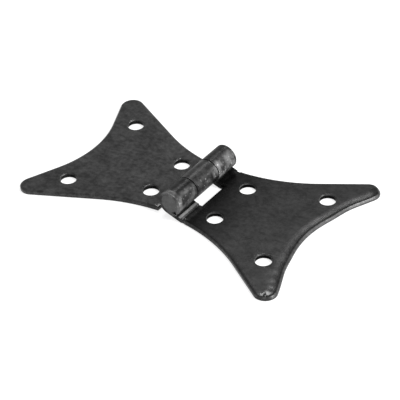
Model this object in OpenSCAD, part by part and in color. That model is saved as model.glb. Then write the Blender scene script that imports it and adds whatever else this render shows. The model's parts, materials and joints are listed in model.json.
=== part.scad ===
// Backflap hinge: two waisted leaves of folded sheet steel that turn on one peened pin.
// The hinge lies flat on its back faces. X runs from the left leaf to the right leaf,
// Y runs along the pin, Z points up through the barrel, and the origin is under the middle of the hinge.

/* [Left leaf] */
// Length of the left leaf, from the line of the pin to the tips of its corner lobes
left_len = 50.9; // [45:0.1:65]
// Width of the left leaf over its corner lobes
left_w = 60.5; // [55:0.1:75]
// Width of the left leaf at its waist, on the line of the pin
left_waist_w = 27.9; // [26:0.1:34]
// Length of the straight run between each hollow side of the left leaf and its lobe
left_side_run = 22.5; // [12:0.5:24]
// Length of the straight run between the left leaf's hollow outer edge and each lobe
left_end_run = 11.2; // [8:0.1:20]
// Distance between the left leaf's two inner holes
left_inner_pitch = 16.5; // [13:0.1:20]

/* [Right leaf] */
// Length of the right leaf, from the line of the pin to the tips of its corner lobes
right_len = 49.1; // [45:0.1:65]
// Width of the right leaf over its corner lobes
right_w = 65.1; // [55:0.1:75]
// Width of the right leaf at its waist, on the line of the pin
right_waist_w = 30.2; // [26:0.1:34]
// Length of the straight run between each hollow side of the right leaf and its lobe
right_side_run = 15.5; // [12:0.5:24]
// Length of the straight run between the right leaf's hollow outer edge and each lobe
right_end_run = 18; // [8:0.1:20]
// Distance between the right leaf's two inner holes
right_inner_pitch = 17.9; // [13:0.1:20]

/* [Both leaves] */
// Thickness of the steel sheet that the leaves are cut from
sheet_t = 1.5; // [1.2:0.1:1.8]
// Radius of a corner lobe
lobe_r = 3.9; // [3:0.05:6]
// Depth of the hollow in a leaf's outer edge, measured from the tips of its lobes
hollow_depth = 7.9; // [6:0.1:11]

/* [Screw holes] */
// Radius of the screw holes
hole_r = 2.65; // [2:0.05:3]
// Radius of the rounded rim of a screw hole
hole_rim_r = 0.4; // [0.2:0.1:0.6]
// Distance from the line of the pin to the centres of the inner holes
inner_hole_reach = 12.75; // [12:0.05:16]
// Distance from the tips of the lobes to the centres of the outer holes
outer_hole_setback = 12; // [10:0.05:16]
// Distance between the two outer holes of a leaf
outer_pitch = 35.6; // [30:0.1:40]

/* [Knuckles] */
// Outside radius of the rolled knuckles
barrel_r = 4.1; // [3.8:0.1:4.8]
// Length of the barrel, over all three knuckles
barrel_len = 30.4; // [30:0.2:36]
// Length of the middle knuckle
middle_len = 10.9; // [8:0.1:13]
// Gap between the middle knuckle and each end knuckle
knuckle_gap = 0.35; // [0.1:0.05:0.6]
// Slope of a tab between its leaf and its roll
tab_angle = 18; // [14:1:22]
// Inside radius of the bend between a leaf and its tab
bend_r = 1.5; // [0.5:0.1:2.5]
// How far a leaf's inner edge lies back from the start of the bend
edge_relief = 1.05; // [0.2:0.05:1.5]
// Angle from the bottom of the barrel to the lip where a roll ends
lip_angle = 40; // [37:1:60]

/* [Pin] */
// Radial clearance between the pin and the bores that it runs in
pin_clearance = 0.05; // [0.02:0.01:0.1]
// Depth of the seat that each end of the pin is peened into
peen_depth = 0.6; // [0.3:0.1:1]
// How far a peened end spreads past the radius of the pin
peen_spread = 0.5; // [0.2:0.1:0.8]

/* [Hidden] */
$fn = 96;
paint = "#343638";
// Overlap of a cutting shape past the face that it cuts
cut = 0.5;
// How far a straight run cuts into the arcs that it would just touch, so that their edges cross
tuck = 0.002;
// Angle of the roll that overlaps the tab, for the same reason
tab_blend = 2;
// Straight pieces in each face of a bend
bend_steps = 6;

// The barrel rests on the plane of the leaves' top faces
axis_z = sheet_t + barrel_r;
bore_r = barrel_r - sheet_t;
pin_r = bore_r - pin_clearance;
peen_r = pin_r + peen_spread;
slot_half = middle_len / 2 + knuckle_gap;
end_len = barrel_len / 2 - slot_half;

// A tab's mid line touches the middle of the rolled wall and meets that of the leaf at fold_x
tab_mid_r = (bore_r + sheet_t / 2) * cos(tab_blend);
fold_x = ((axis_z - sheet_t / 2) * cos(tab_angle) - tab_mid_r) / sin(tab_angle);
bend_x = fold_x + (bend_r + sheet_t / 2) * tan(tab_angle / 2);
inner_edge_x = bend_x + edge_relief;

// The line of the pin lies off the origin where one leaf is longer than the other
pin_x = (left_len - right_len) / 2;

// Point on a circle
function on_circle(centre, r, angle) = centre + r * [cos(angle), sin(angle)];

// Radius of a hollow that starts square to the direction "inwards" at a point of the outline, and ends
// in a straight run of the given length that touches a lobe
function hollow_radius(start, inwards, lobe, run) =
    (pow(norm(lobe - start), 2) - pow(lobe_r, 2) - pow(run, 2)) / (2 * ((lobe - start) * inwards + lobe_r));

// Ends of the straight run that touches a hollow arc and a lobe, on one side of the line between
// their centres
function straight_run(centre, r, lobe, side) =
    let (
        to_lobe = lobe - centre,
        angle = atan2(to_lobe.y, to_lobe.x) + side * acos((r + lobe_r - 2 * tuck) / norm(to_lobe))
    )
    [on_circle(centre, r - tuck, angle), on_circle(lobe, tuck - lobe_r, angle)];

// A shape and its mirror image about the middle of the barrel
module both_sides() {
    children();
    mirror([0, 1, 0]) children();
}

// Flat blank from the inner edge to the lobes. Straight runs join its hollow sides and its
// hollow outer edge to the corner lobes.
module blank(len, w, waist_w, side_run, end_run) {
    lobe = [len - lobe_r, w / 2 - lobe_r];
    waist_r = hollow_radius([0, waist_w / 2], [0, 1], lobe, side_run);
    waist_centre = [0, waist_w / 2 + waist_r];
    hollow_r = hollow_radius([len - hollow_depth, 0], [1, 0], lobe, end_run);
    hollow_centre = [len - hollow_depth + hollow_r, 0];
    waist_run = straight_run(waist_centre, waist_r, lobe, -1);
    hollow_run = straight_run(hollow_centre, hollow_r, lobe, 1);
    corner = [waist_run[0], waist_run[1], lobe, hollow_run[1], hollow_run[0]];
    difference() {
        linear_extrude(sheet_t) polygon(concat(
            [[inner_edge_x, waist_run[0].y]], corner,
            [for (i = [4:-1:0]) [corner[i].x, -corner[i].y]], [[inner_edge_x, -waist_run[0].y]]
        ));
        both_sides() translate([0, waist_centre.y, -cut]) cylinder(r = waist_r, h = sheet_t + 2 * cut);
        translate([hollow_centre.x, 0, -cut]) cylinder(r = hollow_r, h = sheet_t + 2 * cut);
    }
    both_sides() translate([lobe.x, lobe.y, 0]) cylinder(r = lobe_r, h = sheet_t);
}

// Hole through the sheet with a rounded rim on the top face
module screw_hole(at) {
    translate([at.x, at.y, -cut]) cylinder(r = hole_r, h = sheet_t + 2 * cut);
    translate([at.x, at.y, sheet_t]) rotate_extrude() difference() {
        translate([hole_r - hole_rim_r, -hole_rim_r]) square([2 * hole_rim_r, hole_rim_r + cut]);
        translate([hole_r + hole_rim_r, -hole_rim_r]) circle(hole_rim_r);
    }
}

// Flat part of a leaf, drawn as the right leaf with the line of the pin at x = 0
module plate(len, w, waist_w, side_run, end_run, inner_pitch) {
    difference() {
        blank(len, w, waist_w, side_run, end_run);
        both_sides() {
            screw_hole([inner_hole_reach, inner_pitch / 2]);
            screw_hole([len - outer_hole_setback, outer_pitch / 2]);
        }
    }
}

// Side view of the sheet from the leaf's edge round the bend and up the sloping tab to the roll
module tab_profile() {
    bend_centre = [bend_x, sheet_t + bend_r];
    slope = [cos(tab_angle), -sin(tab_angle)];
    square_to_slope = [-sin(tab_angle), -cos(tab_angle)];
    roll_centre = [0, axis_z];
    turn = [for (i = [0:bend_steps]) -90 - tab_angle * i / bend_steps];
    under = [for (angle = turn) on_circle(bend_centre, bend_r + sheet_t, angle)];
    top = [for (i = [bend_steps:-1:0]) on_circle(bend_centre, bend_r, turn[i])];
    polygon(concat(
        [[inner_edge_x + cut, sheet_t], [inner_edge_x + cut, 0]],
        under,
        [roll_centre + (tab_mid_r + sheet_t / 2) * square_to_slope,
         roll_centre + (tab_mid_r - sheet_t / 2) * square_to_slope],
        top
    ));
}

// One knuckle with its tab, from y = 0 to y = len. The roll stops short of the tab at its lip.
module knuckle(len) {
    reach = 2 * barrel_r;
    translate([0, len, 0]) rotate([90, 0, 0]) difference() {
        union() {
            difference() {
                translate([0, axis_z, 0]) cylinder(r = barrel_r, h = len);
                translate([0, axis_z, -cut]) linear_extrude(len + 2 * cut) polygon([
                    [0, 0],
                    reach * [sin(tab_blend - tab_angle), -cos(tab_blend - tab_angle)],
                    reach * [sin(lip_angle), -cos(lip_angle)],
                ]);
            }
            linear_extrude(len) tab_profile();
        }
        translate([0, axis_z, -cut]) cylinder(r = bore_r, h = len + 2 * cut);
    }
}

// End of the pin, spread into its seat in the mouth of an end knuckle
module peened_end() {
    translate([0, barrel_len / 2, axis_z]) rotate([90, 0, 0])
        cylinder(r1 = peen_r, r2 = pin_r, h = peen_depth);
}

module right_leaf() color(paint) translate([pin_x, 0, 0]) {
    plate(right_len, right_w, right_waist_w, right_side_run, right_end_run, right_inner_pitch);
    difference() {
        both_sides() translate([0, slot_half, 0]) knuckle(end_len);
        both_sides() peened_end();
    }
}

module left_leaf() color(paint) translate([pin_x, 0, 0]) mirror([1, 0, 0]) {
    plate(left_len, left_w, left_waist_w, left_side_run, left_end_run, left_inner_pitch);
    translate([0, -middle_len / 2, 0]) knuckle(middle_len);
}

module hinge_pin() color(paint) translate([pin_x, 0, 0]) {
    translate([0, barrel_len / 2, axis_z]) rotate([90, 0, 0]) cylinder(r = pin_r, h = barrel_len);
    both_sides() peened_end();
}

right_leaf();
left_leaf();
hinge_pin();
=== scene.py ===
import json
from math import acos, cos, exp, radians, sin

import bmesh
import bpy
from mathutils import Matrix, Vector


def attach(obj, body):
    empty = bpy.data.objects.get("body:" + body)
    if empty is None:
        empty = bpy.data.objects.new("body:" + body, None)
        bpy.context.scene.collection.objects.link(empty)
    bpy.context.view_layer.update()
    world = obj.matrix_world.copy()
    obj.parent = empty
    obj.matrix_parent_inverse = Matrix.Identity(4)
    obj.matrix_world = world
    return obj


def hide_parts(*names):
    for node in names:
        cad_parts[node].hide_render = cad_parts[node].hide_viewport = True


# A backflap hinge of black painted sheet steel, lying flat, seen from the front right and above.
# Sizes in the dictionaries are millimetres and angles are degrees, where a note says nothing else.

mm = 0.001
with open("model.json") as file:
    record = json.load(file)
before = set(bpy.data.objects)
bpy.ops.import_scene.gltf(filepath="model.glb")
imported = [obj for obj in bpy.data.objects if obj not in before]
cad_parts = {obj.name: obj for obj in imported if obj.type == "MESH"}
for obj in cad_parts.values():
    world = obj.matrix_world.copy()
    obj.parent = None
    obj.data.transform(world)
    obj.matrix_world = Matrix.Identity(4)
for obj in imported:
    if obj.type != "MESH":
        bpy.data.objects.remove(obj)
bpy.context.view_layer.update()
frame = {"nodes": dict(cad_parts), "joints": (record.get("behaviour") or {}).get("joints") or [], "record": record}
foldJoint = next(joint for joint in frame["joints"] if joint["name"] == "leaf_fold")
pinLine = Vector(foldJoint["pos_m"])
print("frame loaded, pin line at", [round(value / mm, 3) for value in pinLine])


def toLinear(hexColour):
    channels = [int(hexColour[start:start + 2], 16) / 255 for start in (1, 3, 5)]
    return [c / 12.92 if c <= 0.04045 else ((c + 0.055) / 1.055) ** 2.4 for c in channels] + [1]


def addNode(tree, kind, inputs, **settings):
    node = tree.nodes.new(kind)
    for name, value in settings.items():
        setattr(node, name, value)
    for socket, value in inputs.items():
        if isinstance(value, bpy.types.NodeSocket):
            tree.links.new(value, node.inputs[socket])
        else:
            node.inputs[socket].default_value = value
    return node


def direction(azimuth, elevation):
    turn, rise = radians(azimuth), radians(elevation)
    return Vector((sin(turn) * cos(rise), -cos(turn) * cos(rise), sin(rise)))


# Camera

view = {
    "azimuth": 37.95, "elevation": 37.0, "roll": -3.1,
    "distance": 582.5,
    "pixelsPerMm": 3.145,       # scale of the photograph at the middle of the hinge
    "middleAt": (196.6, 192.7),     # pixel of the photograph where the middle of the hinge stands
    "imageSize": 400,       # pixels
    "sensor": 36,
    "sees": (10, 20000),        # nearest and farthest distance that is drawn
}


def makeCamera():
    towards = direction(view["azimuth"], view["elevation"])
    level = Vector((cos(radians(view["azimuth"])), sin(radians(view["azimuth"])), 0))
    turned = Matrix.Rotation(radians(-view["roll"]), 3, -towards)
    across = turned @ level
    data = bpy.data.cameras.new("photo camera")
    data.sensor_width = view["sensor"]
    data.lens = view["pixelsPerMm"] * view["distance"] / view["imageSize"] * view["sensor"]
    data.shift_x = (view["imageSize"] / 2 - view["middleAt"][0]) / view["imageSize"]
    data.shift_y = (view["middleAt"][1] - view["imageSize"] / 2) / view["imageSize"]
    data.clip_start, data.clip_end = (distance * mm for distance in view["sees"])
    cameraObject = bpy.data.objects.new("photo camera", data)
    axes = Matrix((across, towards.cross(across), towards)).transposed().to_4x4()
    cameraObject.matrix_world = Matrix.Translation(towards * view["distance"] * mm) @ axes
    bpy.context.scene.collection.objects.link(cameraObject)
    bpy.context.scene.camera = cameraObject


makeCamera()
print("camera placed")

# Lights, floor and surroundings

lamps = {
    "back softbox": {"azimuth": 207, "elevation": 57, "distance": 900, "size": (150, 240), "watts": 6.5},
    "side softbox": {"azimuth": 117, "elevation": 31, "distance": 900, "size": (800, 370), "watts": 8.5},
    "edge softbox": {"azimuth": 104, "elevation": 45, "distance": 900, "size": (300, 320), "watts": 11},
    "top softbox": {"azimuth": -60, "elevation": 72, "distance": 900, "size": (520, 520), "watts": 0.6},
}
studio = {
    "floorSize": 6000, "floorDrop": 0.03,
    "floorColour": "#F4F4F4", "shadowShare": 0.22,      # part of the floor that shows its shading to the camera
    "fill": 0.5,       # strength of the surroundings as a light
}


def seenDirectly(tree):
    # 1 for camera, mirror and see-through rays, so that gloss shows the same white as the background
    path = addNode(tree, "ShaderNodeLightPath", {})
    some = addNode(tree, "ShaderNodeMath", {0: path.outputs["Is Camera Ray"], 1: path.outputs["Is Glossy Ray"]},
                   operation="MAXIMUM")
    return addNode(tree, "ShaderNodeMath", {0: some.outputs[0], 1: path.outputs["Is Transmission Ray"]},
                   operation="MAXIMUM").outputs[0]


def makeLamps():
    for name, lamp in lamps.items():
        data = bpy.data.lights.new(name, "AREA")
        data.shape = "RECTANGLE"
        data.size, data.size_y = lamp["size"][0] * mm, lamp["size"][1] * mm
        data.energy = lamp["watts"]
        lampObject = bpy.data.objects.new(name, data)
        place = direction(lamp["azimuth"], lamp["elevation"])
        lampObject.location = place * lamp["distance"] * mm
        lampObject.rotation_euler = place.to_track_quat("Z", "Y").to_euler()
        bpy.context.scene.collection.objects.link(lampObject)


def makeSurroundings():
    world = bpy.data.worlds.new("white studio")
    world.use_nodes = True
    tree = world.node_tree
    tree.nodes.clear()
    fill = addNode(tree, "ShaderNodeBackground", {"Color": (1, 1, 1, 1), "Strength": studio["fill"]})
    white = addNode(tree, "ShaderNodeBackground", {"Color": (1, 1, 1, 1), "Strength": 1})
    mix = addNode(tree, "ShaderNodeMixShader", {0: seenDirectly(tree), 1: fill.outputs[0], 2: white.outputs[0]})
    addNode(tree, "ShaderNodeOutputWorld", {"Surface": mix.outputs[0]})
    bpy.context.scene.world = world


def makeFloor():
    # Studio paper, white and quite matt. Most of what the camera sees of it is plain white, and the rest
    # keeps the hinge's shadow.
    material = bpy.data.materials.new("matt white studio paper")
    material.use_nodes = True
    tree = material.node_tree
    tree.nodes.clear()
    paper = addNode(tree, "ShaderNodeBsdfDiffuse", {"Color": toLinear(studio["floorColour"])})
    glow = addNode(tree, "ShaderNodeEmission", {"Color": (1, 1, 1, 1), "Strength": 1})
    share = addNode(tree, "ShaderNodeMath", {0: seenDirectly(tree), 1: 1 - studio["shadowShare"]},
                    operation="MULTIPLY")
    mix = addNode(tree, "ShaderNodeMixShader", {0: share.outputs[0], 1: paper.outputs[0], 2: glow.outputs[0]})
    addNode(tree, "ShaderNodeOutputMaterial", {"Surface": mix.outputs[0]})
    mesh = bpy.data.meshes.new("floor")
    sheet = bmesh.new()
    bmesh.ops.create_grid(sheet, x_segments=1, y_segments=1, size=studio["floorSize"] * mm / 2)
    bmesh.ops.translate(sheet, verts=sheet.verts, vec=(0, 0, -studio["floorDrop"] * mm))
    sheet.to_mesh(mesh)
    sheet.free()
    mesh.materials.append(material)
    floor = bpy.data.objects.new("floor", mesh)
    bpy.context.scene.collection.objects.link(floor)


makeLamps()
makeSurroundings()
makeFloor()
bpy.context.scene.view_settings.view_transform = "Standard"
print("studio built")

# Finish

enamel = {
    "black": "#030303", "dusty": "#202020", "worn": "#6A6A6A", "bare": "#B0B0B0",
    "roughness": 0.23, "wornRoughness": 0.5,
    "mottleSize": 4.5, "streakSize": (12, 2, 2),
    "grainSize": 1.1,       # drawn coarser than the real grain, so that it shows
    "streakShare": 0.3, "grainShare": 0.45,     # of streaks in the clouds, and of grain in the whole tone
    "dustTones": (0.4, 0.66),       # tones where the paint starts to look dusty, and does so fully
    "sheenTones": (0.38, 0.62), "sheenShares": (0.82, 1.18),       # a dark and a light tone, and the sheen there
    "breakTones": (0.35, 0.65), "leastBreak": 0.5,      # grain that leaves this share of the edge wear, or all
    "waveSize": 14, "waveDepth": 0.05,      # how far the pressed sheet is from flat
    "peelSize": 0.7, "peelDepth": 0.003,        # orange peel of the sprayed paint
}
barrel = {
    "radius": 4.1, "fade": (0.4, 0.1),      # how far outside the rolls their finish starts and is full
    "patchSize": 2.6, "patchTones": (0.4, 0.62),
    "speckSize": 0.8, "speckTones": (0.62, 0.68),
    "fullSpread": 0.5, "fullReach": 0.6,        # parts of a worn zone that are fully worn, round and along the pin
    "hammerSize": 2.4, "hammerDepth": 0.18,
    "roughness": 0.38, "gloss": 0.6,        # gloss as a share of the leaf's
}
# painted shade on the leaf beside the barrel, and a painted highlight on the near tab
barrelShadeAndTabHighlight = {
    "farShift": 3.5,        # how much closer to the pin the painted shade starts on the far side
    "shiftStretch": 4,      # distance along the pin, each way from the middle, over which that changes
    "rise": 1.2,        # distance over which the painted shade starts
    "top": (0.3, 0.9),      # heights where it starts and is full, so that the underside has none
    "tabTop": (3.2, 2.6),       # heights where the painted highlight on the tab starts and is full
    "tabRise": (0.5, 1),        # distances over which the shine starts at the roll and ends on the leaf
    "tabStretch": (-5, -15), "leastShine": 0.2,     # along the pin it grows from this share to all
}


def blackEnamel(name, finish):
    # Black enamel sprayed on pressed and rolled sheet steel: semi-matt, with a fine orange peel.
    # It is rubbed grey on the rolls and worn through to pale steel in specks and along the cut edges.
    # Shade is painted beside the barrel and on the walls of the screw holes, and a highlight on the near tab.
    material = bpy.data.materials.new(name)
    material.use_nodes = True
    tree = material.node_tree
    tree.nodes.clear()
    place = addNode(tree, "ShaderNodeTexCoord", {}).outputs["Object"]
    axes = addNode(tree, "ShaderNodeSeparateXYZ", {"Vector": place})
    alongPin, level = axes.outputs["Y"], axes.outputs["Z"]

    # the rolls, by distance from the pin
    fromPin = addNode(tree, "ShaderNodeVectorMath", {0: place, 1: pinLine}, operation="SUBTRACT")
    fromFold = addNode(tree, "ShaderNodeSeparateXYZ", {"Vector": fromPin.outputs[0]}).outputs["X"]
    across = addNode(tree, "ShaderNodeVectorMath", {0: fromPin.outputs[0], 1: (1, 0, 1)}, operation="MULTIPLY")
    distance = addNode(tree, "ShaderNodeVectorMath", {0: across.outputs[0]}, operation="LENGTH")
    outwards = addNode(tree, "ShaderNodeVectorMath", {0: across.outputs[0]}, operation="NORMALIZE")
    start, end = barrel["fade"]
    onRoll = addNode(tree, "ShaderNodeMapRange", {
        "Value": distance.outputs["Value"], "From Min": (barrel["radius"] + start) * mm,
        "From Max": (barrel["radius"] + end) * mm}).outputs[0]

    # painted shade: the paint is made darker and less glossy beside the barrel, for the barrel's shadow and its
    # dark reflection in the leaf
    stretch = barrelShadeAndTabHighlight["shiftStretch"] * mm
    farSide = addNode(tree, "ShaderNodeMapRange", {"Value": alongPin, "From Min": -stretch, "From Max": stretch})
    beside = addNode(tree, "ShaderNodeMath", {
        0: farSide.outputs[0], 1: barrelShadeAndTabHighlight["farShift"] * mm, 2: fromFold}, operation="MULTIPLY_ADD").outputs[0]
    start, end, loss = finish["barrelShade"]
    pastBend = addNode(tree, "ShaderNodeMapRange", {
        "Value": beside, "From Min": (start - barrelShadeAndTabHighlight["rise"]) * mm, "From Max": start * mm, "To Max": loss})
    barrelShade = addNode(tree, "ShaderNodeMapRange", {
        "Value": beside, "From Min": start * mm, "From Max": end * mm, "To Min": 1, "To Max": 0},
        interpolation_type="SMOOTHSTEP")
    start, end = barrelShadeAndTabHighlight["top"]
    onTop = addNode(tree, "ShaderNodeMapRange", {"Value": level, "From Min": start * mm, "From Max": end * mm})
    lost = pastBend
    for share in (barrelShade, onTop):
        lost = addNode(tree, "ShaderNodeMath", {0: lost.outputs[0], 1: share.outputs[0]}, operation="MULTIPLY")
    clear = addNode(tree, "ShaderNodeMath", {0: 1, 1: lost.outputs[0]}, operation="SUBTRACT").outputs[0]

    # colour of sound paint: cloudy, with faint streaks along the rolling direction of the sheet
    mottle = addNode(tree, "ShaderNodeTexNoise", {
        "Vector": place, "Scale": 1 / (enamel["mottleSize"] * mm), "Detail": 3, "Roughness": 0.6})
    along = addNode(tree, "ShaderNodeMapping", {
        "Vector": place, "Scale": [1 / (size * mm) for size in enamel["streakSize"]]})
    streaks = addNode(tree, "ShaderNodeTexNoise", {"Vector": along.outputs[0], "Scale": 1, "Detail": 3})
    grain = addNode(tree, "ShaderNodeTexNoise", {
        "Vector": place, "Scale": 1 / (enamel["grainSize"] * mm), "Detail": 2, "Roughness": 0.6})
    cloud = addNode(tree, "ShaderNodeMix", {
        0: enamel["streakShare"], 2: mottle.outputs["Fac"], 3: streaks.outputs["Fac"]}, data_type="FLOAT")
    tone = addNode(tree, "ShaderNodeMix", {
        0: enamel["grainShare"], 2: cloud.outputs[0], 3: grain.outputs["Fac"]}, data_type="FLOAT").outputs[0]
    start, end = enamel["dustTones"]
    dust = addNode(tree, "ShaderNodeMapRange", {"Value": tone, "From Min": start, "From Max": end})
    # less dust where shade is painted beside the barrel, and by the leaf's own share, which paints the right leaf
    # darker
    for share in (clear, finish["dust"]):
        dust = addNode(tree, "ShaderNodeMath", {0: dust.outputs[0], 1: share}, operation="MULTIPLY")
    painted = addNode(tree, "ShaderNodeMix", {
        0: dust.outputs[0], 6: toLinear(enamel["black"]), 7: toLinear(enamel["dusty"])}, data_type="RGBA")

    # rubbed patches and bare specks, each zone of them in one stretch and on one side of the barrel
    patches = addNode(tree, "ShaderNodeTexNoise", {
        "Vector": place, "Scale": 1 / (barrel["patchSize"] * mm), "Detail": 4, "Roughness": 0.55})
    start, end = barrel["patchTones"]
    patchShape = addNode(tree, "ShaderNodeMapRange", {
        "Value": patches.outputs["Fac"], "From Min": start, "From Max": end, "To Min": finish["even"]})
    specks = addNode(tree, "ShaderNodeTexNoise", {
        "Vector": place, "Scale": 1 / (barrel["speckSize"] * mm), "Detail": 2})
    start, end = barrel["speckTones"]
    speckShape = addNode(tree, "ShaderNodeMapRange", {
        "Value": specks.outputs["Fac"], "From Min": start, "From Max": end})
    rubbedMask = speckMask = 0
    for zone in finish["zones"]:
        facing = radians(zone["facing"])
        side = (sin(facing), 0, cos(facing)) if zone["spread"] < 180 else (0, 0, 0)
        towards = addNode(tree, "ShaderNodeVectorMath", {0: outwards.outputs[0], 1: side}, operation="DOT_PRODUCT")
        onSide = addNode(tree, "ShaderNodeMapRange", {
            "Value": towards.outputs["Value"], "From Min": cos(radians(zone["spread"])),
            "From Max": cos(radians(zone["spread"] * barrel["fullSpread"]))})
        fromMiddle = addNode(tree, "ShaderNodeMath", {0: alongPin, 1: zone["at"] * mm}, operation="SUBTRACT")
        apart = addNode(tree, "ShaderNodeMath", {0: fromMiddle.outputs[0]}, operation="ABSOLUTE")
        inStretch = addNode(tree, "ShaderNodeMapRange", {
            "Value": apart.outputs[0], "From Min": zone["reach"] * mm,
            "From Max": zone["reach"] * barrel["fullReach"] * mm})
        zoneMask = onSide.outputs[0]
        for share in (inStretch.outputs[0], onRoll):
            zoneMask = addNode(tree, "ShaderNodeMath", {0: zoneMask, 1: share}, operation="MULTIPLY").outputs[0]
        rubbedHere = addNode(tree, "ShaderNodeMath", {0: patchShape.outputs[0], 1: zone["rubbed"]},
                             operation="MULTIPLY")
        rubbedMask = addNode(tree, "ShaderNodeMath", {0: rubbedHere.outputs[0], 1: zoneMask, 2: rubbedMask},
                             operation="MULTIPLY_ADD").outputs[0]
        speckHere = addNode(tree, "ShaderNodeMath", {0: speckShape.outputs[0], 1: zone["specks"]},
                            operation="MULTIPLY")
        speckMask = addNode(tree, "ShaderNodeMath", {0: speckHere.outputs[0], 1: zoneMask, 2: speckMask},
                            operation="MULTIPLY_ADD").outputs[0]

    # thin paint on the cut edges
    edgeWearAndHoleShade = addNode(tree, "ShaderNodeAttribute", {}, attribute_name="edgeWearAndHoleShade").outputs["Fac"]
    start, end = enamel["breakTones"]
    breaks = addNode(tree, "ShaderNodeMapRange", {
        "Value": grain.outputs["Fac"], "From Min": start, "From Max": end,
        "To Min": finish["edges"] * enamel["leastBreak"], "To Max": finish["edges"]})
    edgeMask = addNode(tree, "ShaderNodeMath", {0: edgeWearAndHoleShade, 1: breaks.outputs[0]}, operation="MULTIPLY",
                       use_clamp=True).outputs[0]

    colour = painted
    for mask, tint in ((rubbedMask, "worn"), (speckMask, "bare"), (edgeMask, "worn")):
        colour = addNode(tree, "ShaderNodeMix", {0: mask, 6: colour.outputs[2], 7: toLinear(enamel[tint])},
                         data_type="RGBA")

    # relief: the sheet's waviness, orange peel, hammer marks on the rolls, single dents and the tab's crease
    wave = addNode(tree, "ShaderNodeTexNoise", {
        "Vector": place, "Scale": 1 / (enamel["waveSize"] * mm), "Detail": 1})
    height = addNode(tree, "ShaderNodeMath", {0: wave.outputs["Fac"], 1: enamel["waveDepth"] * mm},
                     operation="MULTIPLY").outputs[0]
    peel = addNode(tree, "ShaderNodeTexNoise", {
        "Vector": place, "Scale": 1 / (enamel["peelSize"] * mm), "Detail": 2})
    height = addNode(tree, "ShaderNodeMath", {0: peel.outputs["Fac"], 1: enamel["peelDepth"] * mm, 2: height},
                     operation="MULTIPLY_ADD").outputs[0]
    hammer = addNode(tree, "ShaderNodeTexNoise", {
        "Vector": place, "Scale": 1 / (barrel["hammerSize"] * mm), "Detail": 3, "Roughness": 0.6})
    hammerDepth = addNode(tree, "ShaderNodeMath", {0: onRoll, 1: barrel["hammerDepth"] * finish["hammered"] * mm},
                          operation="MULTIPLY")
    height = addNode(tree, "ShaderNodeMath", {
        0: hammer.outputs["Fac"], 1: hammerDepth.outputs[0], 2: height}, operation="MULTIPLY_ADD").outputs[0]
    for x, y, radius, depth in finish["dents"]:
        away = addNode(tree, "ShaderNodeVectorMath", {0: place, 1: Vector((x, y, pressing["sheet"])) * mm},
                       operation="DISTANCE")
        dent = addNode(tree, "ShaderNodeMapRange", {
            "Value": away.outputs["Value"], "From Max": radius * mm, "To Min": -depth * mm, "To Max": 0},
            interpolation_type="SMOOTHSTEP")
        height = addNode(tree, "ShaderNodeMath", {0: height, 1: dent.outputs[0]}).outputs[0]
    for start, end, drop in finish["creases"]:
        crease = addNode(tree, "ShaderNodeMapRange", {
            "Value": fromFold, "From Min": start * mm, "From Max": end * mm, "To Min": drop * mm, "To Max": 0})
        nearSide = addNode(tree, "ShaderNodeMath", {0: 1, 1: farSide.outputs[0]}, operation="SUBTRACT")
        height = addNode(tree, "ShaderNodeMath", {0: crease.outputs[0], 1: nearSide.outputs[0], 2: height},
                         operation="MULTIPLY_ADD").outputs[0]
    relief = addNode(tree, "ShaderNodeBump", {"Height": height, "Distance": 1, "Strength": 1})

    # a painted highlight on the near tab: its sheen is raised, more towards the end of the barrel
    start, end = barrelShadeAndTabHighlight["tabTop"]
    onTab = addNode(tree, "ShaderNodeMapRange", {"Value": level, "From Min": start * mm, "From Max": end * mm})
    start, end = barrelShadeAndTabHighlight["tabStretch"]
    towardsEnd = addNode(tree, "ShaderNodeMapRange", {
        "Value": alongPin, "From Min": start * mm, "From Max": end * mm, "To Min": barrelShadeAndTabHighlight["leastShine"]})
    start, end, gain = finish["tabHighlight"]
    beginning, ending = barrelShadeAndTabHighlight["tabRise"]
    fromRoll = addNode(tree, "ShaderNodeMapRange", {
        "Value": fromFold, "From Min": start * mm, "From Max": (start + beginning) * mm})
    toLeaf = addNode(tree, "ShaderNodeMapRange", {
        "Value": fromFold, "From Min": end * mm, "From Max": (start + ending) * mm})
    tabHighlightGain = onTab
    for share in (fromRoll, toLeaf, towardsEnd):
        tabHighlightGain = addNode(tree, "ShaderNodeMath", {0: tabHighlightGain.outputs[0], 1: share.outputs[0]}, operation="MULTIPLY")
    tabHighlightGain = addNode(tree, "ShaderNodeMath", {0: tabHighlightGain.outputs[0], 1: gain, 2: 1}, operation="MULTIPLY_ADD")

    # sheen: less beside the barrel, as painted shade, and on the rolls; none inside the holes, as painted shade on
    # their walls; more on the near tab, as a painted highlight
    inHole = addNode(tree, "ShaderNodeMath", {0: edgeWearAndHoleShade, 1: 1}, operation="ADD", use_clamp=True)
    rollGloss = addNode(tree, "ShaderNodeMapRange", {"Value": onRoll, "To Min": 1, "To Max": barrel["gloss"]})
    start, end = enamel["sheenTones"]
    dull, glossy = enamel["sheenShares"]
    gloss = addNode(tree, "ShaderNodeMapRange", {
        "Value": tone, "From Min": start, "From Max": end,
        "To Min": finish["sheen"] * dull, "To Max": finish["sheen"] * glossy})
    sheen = clear
    for share in (tabHighlightGain, inHole, rollGloss, gloss):
        sheen = addNode(tree, "ShaderNodeMath", {0: sheen, 1: share.outputs[0]}, operation="MULTIPLY").outputs[0]
    rolled = addNode(tree, "ShaderNodeMapRange", {
        "Value": onRoll, "To Min": enamel["roughness"], "To Max": barrel["roughness"]})
    roughness = addNode(tree, "ShaderNodeMix", {
        0: rubbedMask, 2: rolled.outputs[0], 3: enamel["wornRoughness"]}, data_type="FLOAT")
    paint = addNode(tree, "ShaderNodeBsdfPrincipled", {
        "Base Color": colour.outputs[2], "Roughness": roughness.outputs[0],
        "Specular IOR Level": sheen, "Normal": relief.outputs[0]})
    addNode(tree, "ShaderNodeOutputMaterial", {"Surface": paint.outputs[0]})
    return material


# Leaves

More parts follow.
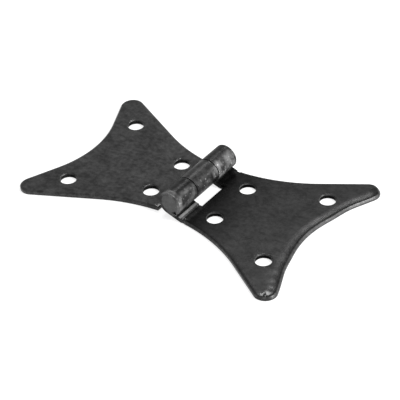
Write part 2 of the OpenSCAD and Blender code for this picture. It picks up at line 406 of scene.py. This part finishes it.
pressing = {
    "sheet": 1.5,
    "roll": 1.1, "rollSteps": 12,       # first even rounding of the top outline
    "sag": 0.6,         # share of the steps that go to the shallow sag, the rest round the corner
    "slack": 0.25,      # how much later than evenly the corner falls
    # the roll widens where the outline faces outward by more than the first, and fully by the second more
    "outward": -0.1, "outwardSpan": 0.7,
    "burr": 0.12, "burrSteps": 2,       # small rounding on the underside
    "weld": 0.002,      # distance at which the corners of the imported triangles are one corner
    "touch": 0.001,     # distance at which a corner lies on a plane
    "flatAngle": 0.2,       # faces that meet flatter than this are one
    "sharpAngle": 38,       # faces that meet more steeply than this show an edge
    "rimReach": 3.2,        # a screw hole's wall and rim lie within this distance of its centre
    "neck": 5.6,        # the bends and rolls lie within this distance of the pin, along X
    "outerEdge": 30,        # the outer edge lies further out than this, along X
    "facingOut": 0.3,       # the outer edge's faces point outward by more than this
    "wall": 0.2, "flat": 0.98,      # a face that points up by less than the first is upright, by more is flat
    "holeWall": 0.1, "side": 0.3,       # the same limits for the wear, below a hole's rim and on the sides
    "unworn": 0.9, "wornSpan": 0.6,     # a face that points up by more is not worn, by this much less is fully
}

holeCentres = []
for mount in frame["record"]["mounts"]:
    if mount["kind"] == "bolt_pattern":
        for side in (-0.5, 0.5):
            holeCentres.append(Vector((mount["pos_m"][0], side * mount["dims"]["spacing_y_mm"] * mm)))


def mergedCopy(nodeName):
    mesh = frame["nodes"][nodeName].data.copy()
    if "custom_normal" in mesh.attributes:
        mesh.attributes.remove(mesh.attributes["custom_normal"])
    shape = bmesh.new()
    shape.from_mesh(mesh)
    bmesh.ops.remove_doubles(shape, verts=shape.verts, dist=pressing["weld"] * mm)
    bmesh.ops.dissolve_limit(shape, angle_limit=radians(pressing["flatAngle"]), verts=shape.verts,
                             edges=shape.edges)
    bpy.data.meshes.remove(mesh)
    return shape


def roundEdges(shape, edges, radius, steps):
    return bmesh.ops.bevel(shape, geom=edges, offset=radius * mm, offset_type="OFFSET", segments=steps,
                           profile=0.5, affect="EDGES", clamp_overlap=False, material=-1)


def once(parts):
    # Each part once, in the order in which they come
    return list(dict.fromkeys(parts))


def atHeight(vert, height):
    return abs(vert.co.z - height * mm) < pressing["touch"] * mm


def outlineEdges(shape, height):
    # Edges at this height between a flat face and an upright side of the sheet
    found = []
    for edge in shape.edges:
        if len(edge.link_faces) == 2 and all(atHeight(vert, height) for vert in edge.verts):
            rises = sorted(abs(face.normal.z) for face in edge.link_faces)
            if rises[0] < pressing["wall"] and rises[1] > pressing["flat"]:
                found.append(edge)
    return found


def nearHole(place):
    return any((place.xy - centre).length < pressing["rimReach"] * mm for centre in holeCentres)


def onOuterEdge(face, leaf):
    middle = face.calc_center_median()
    return middle.x * leaf["outer"] > pressing["outerEdge"] * mm and not nearHole(middle)


def fileHollow(shape, leaf):
    # Beside its lobes the outer edge is filed a little deeper than the run that it was cut to
    for y in leaf["filedCuts"]:
        outer = [face for face in shape.faces if onOuterEdge(face, leaf)]
        parts = once(part for face in outer for part in [face, *face.edges, *face.verts])
        bmesh.ops.bisect_plane(shape, geom=parts, dist=pressing["touch"] * mm,
                               plane_co=(0, y * mm, 0), plane_no=(0, 1, 0))
    shape.normal_update()
    sides = [face for face in shape.faces if abs(face.normal.z) < pressing["wall"]
             and face.normal.x * leaf["outer"] > pressing["facingOut"] and onOuterEdge(face, leaf)]
    for vert in once(vert for face in sides for vert in face.verts):
        for y, reach, depth in leaf["filed"]:
            vert.co.x -= leaf["outer"] * depth * mm * exp(-((vert.co.y / mm - y) / reach) ** 2)
    shape.normal_update()


def clamped(value):
    return min(max(value, 0), 1)


def nearestOnOutline(outline, place):
    nearest = None
    for start, run, outward in outline:
        foot = start + run * clamped((place - start).dot(run) / run.length_squared)
        gap = (place - foot).length
        if nearest is None or gap < nearest[0]:
            nearest = (gap, foot, outward)
    return nearest


def rollOver(shape, leaf):
    # Rounds the top outline, then moves the rounding to the pressed edge's real shape: a shallow sag of the
    # sheet that ends in a small round corner, widest on the outer edge
    edges = outlineEdges(shape, pressing["sheet"])
    sheetTop = pressing["sheet"] * mm
    outline = []
    for edge in edges:
        start, end = (vert.co.xy for vert in edge.verts)
        side = min(edge.link_faces, key=lambda face: abs(face.normal.z))
        outline.append((start.copy(), end - start, side.normal.xy.copy()))
    rounded = roundEdges(shape, edges, pressing["roll"], pressing["rollSteps"])
    for vert in rounded["verts"]:
        gap, foot, outward = nearestOnOutline(outline, vert.co.xy)
        turned = clamped((outward.x * leaf["outer"] - pressing["outward"]) / pressing["outwardSpan"])
        width, depth, corner = (side + (outer - side) * turned
                                for side, outer in zip(leaf["sideRoll"], leaf["outerRoll"]))
        step = acos(clamped(1 - (sheetTop - vert.co.z) / (pressing["roll"] * mm))) / radians(90)
        if step < pressing["sag"]:
            share = step / pressing["sag"]
            inset, drop = width - (width - corner) * share, depth * share ** 2
        else:
            share = (step - pressing["sag"]) / (1 - pressing["sag"])
            inset = corner * (1 - share)
            drop = depth + corner * (share - pressing["slack"] * share * (1 - share))
        if gap > 0:
            vert.co.xy = foot + (vert.co.xy - foot) / gap * inset * mm
        vert.co.z = sheetTop - drop * mm

    # the flat top is filled anew inside its moved edge
    shape.normal_update()
    top = [face for face in shape.faces if face.normal.z > pressing["flat"]
           and all(atHeight(vert, pressing["sheet"]) for vert in face.verts)]
    rim = once(edge for face in top for edge in face.edges if sum(other in top for other in edge.link_faces) == 1)
    bmesh.ops.delete(shape, geom=top, context="FACES")
    bmesh.ops.triangle_fill(shape, edges=[edge for edge in rim if edge.is_valid], normal=(0, 0, 1))


def markEdgeWearAndHoleShade(shape, leaf):
    # Marks how upright each face is, for the wear on the cut edges; less on the upright sides and on the
    # rims of the screw holes, and below zero on their walls, which the material paints dark as shade by taking
    # away their sheen
    edgeWearAndHoleShade = shape.faces.layers.float.new("edgeWearAndHoleShade")
    for face in shape.faces:
        middle, rise = face.calc_center_median(), abs(face.normal.z)
        upright = clamped((pressing["unworn"] - rise) / pressing["wornSpan"])
        if rise < pressing["side"]:
            upright *= leaf["sides"]
        if abs(middle.x - pinLine.x) < pressing["neck"] * mm or middle.z < 0:
            upright = 0
        if nearHole(middle):
            onRim = face.normal.z > pressing["holeWall"]
            upright = upright * leaf["rims"] if onRim else min(rise, pressing["unworn"]) - pressing["unworn"]
        face[edgeWearAndHoleShade] = upright


def makePiece(shape, name, nodeName, body, material):
    mesh = bpy.data.meshes.new(name)
    shape.to_mesh(mesh)
    shape.free()
    mesh.materials.clear()
    mesh.materials.append(material)
    mesh.shade_smooth()
    mesh.set_sharp_from_angle(angle=radians(pressing["sharpAngle"]))
    piece = bpy.data.objects.new(name, mesh)
    bpy.context.scene.collection.objects.link(piece)
    smoothing = piece.modifiers.new("flat faces stay flat", "WEIGHTED_NORMAL")
    smoothing.keep_sharp = True
    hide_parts(nodeName)
    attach(piece, body)


def makeLeaf(name, nodeName, body, leaf):
    shape = mergedCopy(nodeName)
    fileHollow(shape, leaf)
    rollOver(shape, leaf)
    roundEdges(shape, outlineEdges(shape, 0), pressing["burr"], pressing["burrSteps"])
    shape.normal_update()
    markEdgeWearAndHoleShade(shape, leaf)
    makePiece(shape, name, nodeName, body, blackEnamel("black enamel, " + name.replace("_", " "), leaf))
    print(name, "pressed")


rightLeaf = {
    "outer": 1,     # its outer edge lies this way along X
    "outerRoll": (3.6, 0.31, 0.7), "sideRoll": (1.2, 0.08, 0.35),      # width and depth of the sag, corner radius
    "filed": [(18.5, 6, 1.0), (-17, 6, 0.7)],       # place along Y, reach and depth
    "filedCuts": [*range(-27, -5, 2), *range(7, 29, 2)],        # where the long straight runs get new corners
    "edges": 0.55, "rims": 0.9, "sides": 0.35,      # wear on cut edges, its share on hole rims and upright sides
    "hammered": 1, "even": 0.2,     # depth of the hammer marks, and how much the rolls are rubbed between patches
    # painted shade: less dust and sheen than on the left leaf, so that this leaf shows darker
    "dust": 0.45, "sheen": 0.12,
    "barrelShade": (7, 26, 0.75),       # painted shade beside the barrel: from, to and the share of sheen and dust that is lost
    "tabHighlight": (3.0, 7.0, 2.5),       # painted highlight on the tab: from and to these distances from the pin, and how much glossier
    "creases": [(3.2, 4.9, 0.7)],      # where the near tab falls more steeply: from, to and by how much
    # worn zones of the near roll, its rim and the far roll: their middle along the pin and half their length,
    # the angle that they face from straight up to +X and how far round they spread, where 180 is all round
    "zones": [
        {"at": -10.5, "reach": 5.5, "facing": 75, "spread": 50, "rubbed": 0.4, "specks": 0.12},
        {"at": -14.4, "reach": 1.2, "facing": 40, "spread": 100, "rubbed": 0.4, "specks": 0.3},
        {"at": -15.4, "reach": 0.5, "facing": 0, "spread": 180, "rubbed": 0.5, "specks": 0.1},
        {"at": 10.5, "reach": 6, "facing": 78, "spread": 62, "rubbed": 0.65, "specks": 0.25},
        {"at": 6.4, "reach": 1.2, "facing": 80, "spread": 60, "rubbed": 0.3, "specks": 0.9},
    ],
    "dents": [      # x, y, radius, depth
        (47.6, -31.0, 0.7, 0.07), (47.8, -27.6, 1.9, 0.045), (46.2, -25.2, 2.2, 0.03), (48.9, -24.5, 0.9, 0.05),
        (45.0, -21.6, 2.4, 0.03),
    ],
}
leftLeaf = {
    "outer": -1,
    "outerRoll": (1.4, 0.12, 0.4), "sideRoll": (1.2, 0.08, 0.4),
    "filed": [], "filedCuts": [],
    "edges": 0.3, "rims": 0.9, "sides": 0.6,
    "hammered": 0.5, "even": 0.2,
    "dust": 1, "sheen": 0.18,
    "barrelShade": (7, 26, 0), "tabHighlight": (3, 7, 0), "creases": [],
    "zones": [
        {"at": -1.5, "reach": 4, "facing": 80, "spread": 40, "rubbed": 0.2, "specks": 0.25},
        {"at": 4.5, "reach": 2, "facing": 65, "spread": 30, "rubbed": 0.6, "specks": 0.2},
    ],
    "dents": [(-37.6, 16.6, 1.1, 0.05)],
}

makeLeaf("pressed_right_leaf", "right_leaf", "right_leaf", rightLeaf)
makeLeaf("pressed_left_leaf", "left_leaf", "left_leaf", leftLeaf)

# Pin

hingePin = {
    "edges": 0, "hammered": 0.25, "even": 0.75,
    "dust": 1, "sheen": 0.2,
    "barrelShade": (7, 26, 0), "tabHighlight": (3, 7, 0), "creases": [],
    "zones": [{"at": 0, "reach": 40, "facing": 0, "spread": 180, "rubbed": 0.42, "specks": 0.1}],
    "dents": [],
}

makePiece(mergedCopy("hinge_pin"), "peened_pin", "hinge_pin", "right_leaf",
          blackEnamel("black enamel, pin", hingePin))
print("pin done")
